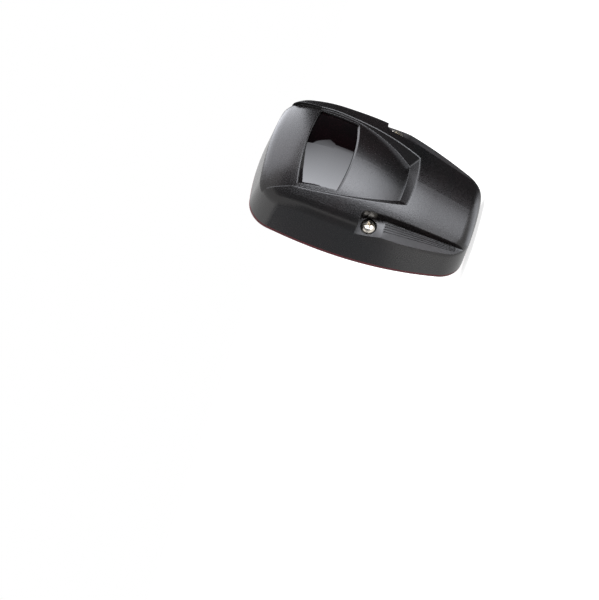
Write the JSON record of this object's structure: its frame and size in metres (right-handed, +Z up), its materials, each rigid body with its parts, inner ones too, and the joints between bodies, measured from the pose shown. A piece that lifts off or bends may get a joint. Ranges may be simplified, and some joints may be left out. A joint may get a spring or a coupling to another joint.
{
  "type": "gate photocell",
  "caption": "Wall-mounted gate photocell head: black moulded cover with domed top, sunken tray, dark infrared window and side screw channels over a sealed base with a circuit board.",
  "frame": {"origin": "on the rear face that lies on the wall, on the centre line at the level of the cover screws", "axes": "+Y into the wall, -Y out of the front, +Z up towards the domed top, +X to the right seen from the front"},
  "size_m": [0.0596, 0.0313, 0.0962],
  "materials": {
    "cover_plastic": "fine grained satin black moulding",
    "window_plastic": "polished dark red black infrared filter",
    "seal_rubber": "dark red silicone",
    "base_plastic": "matt black moulding",
    "black_rubber": "soft black rubber",
    "screw_steel": "bright plated steel",
    "board_laminate": "green solder mask",
    "diode_resin": "dark infrared resin",
    "holder_plastic": "matt black",
    "lens_plastic": "clear polished acrylic",
    "terminal_plastic": "green housing",
    "clamp_brass": "bare brass",
    "relay_plastic": "blue case",
    "capacitor_sleeve": "dark shrink sleeve",
    "varistor_coating": "blue coating",
    "chip_resin": "black resin",
    "lamp_resin": "red tinted resin",
    "jumper_plastic": "black",
    "chip_ceramic": "tan ceramic"
  },
  "bodies": {
    "root": {"front_cover": "cover_plastic", "window": "window_plastic", "rim_seal": "seal_rubber", "base": "base_plastic", "cable_grommet": "black_rubber", "cover_screws": "screw_steel", "screw_seals": "black_rubber", "circuit_board": "board_laminate", "board_screws": "screw_steel", "photodiode": "diode_resin", "lens_holder": "holder_plastic", "lens": "lens_plastic", "terminal_block": "terminal_plastic", "terminal_screws": "screw_steel", "wire_clamps": "clamp_brass", "relay": "relay_plastic", "smoothing_capacitor": "capacitor_sleeve", "varistor": "varistor_coating", "rectifier": "chip_resin", "microcontroller": "chip_resin", "status_lamp": "lamp_resin", "jumper_header": "holder_plastic", "jumper_cap": "jumper_plastic", "chip_resistors": "chip_resin", "chip_capacitors": "chip_ceramic"}
  },
  "joints": []
}
